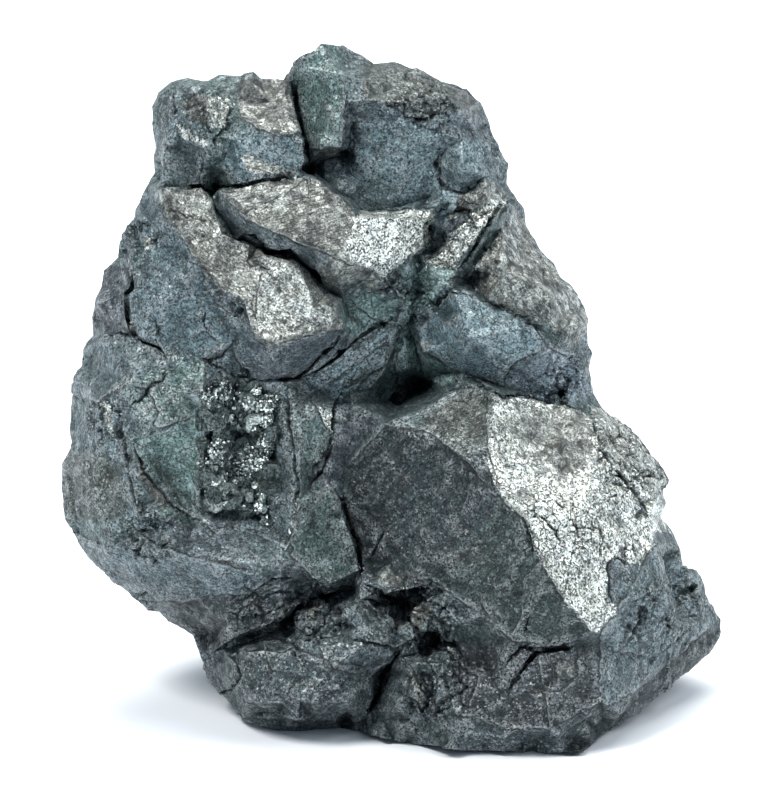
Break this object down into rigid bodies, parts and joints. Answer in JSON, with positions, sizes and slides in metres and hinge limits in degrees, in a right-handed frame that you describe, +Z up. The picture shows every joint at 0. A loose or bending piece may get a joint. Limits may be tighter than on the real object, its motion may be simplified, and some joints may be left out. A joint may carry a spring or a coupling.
{
  "type": "argyrodite mineral specimen",
  "caption": "Intergrown metallic blue-grey mineral mass with faceted crystal blocks, bright fracture faces and a pocket of tiny crystals, standing on its own foot.",
  "frame": {"origin": "centre of the bounding box in X and Y, on the plane the specimen stands on", "axes": "+Z up, the display face looks along -Y and leans back by 18 degrees, +X to the viewer's right"},
  "size_m": [0.0474, 0.03, 0.0477],
  "materials": {
    "dull_argyrodite": "dull metallic blue-grey, with bright fracture faces",
    "bright_crystals": "bright metallic, tiny crystal faces"
  },
  "bodies": {
    "root": {"argyrodite_mass": "dull_argyrodite", "pocket_crust": "bright_crystals"}
  },
  "joints": []
}
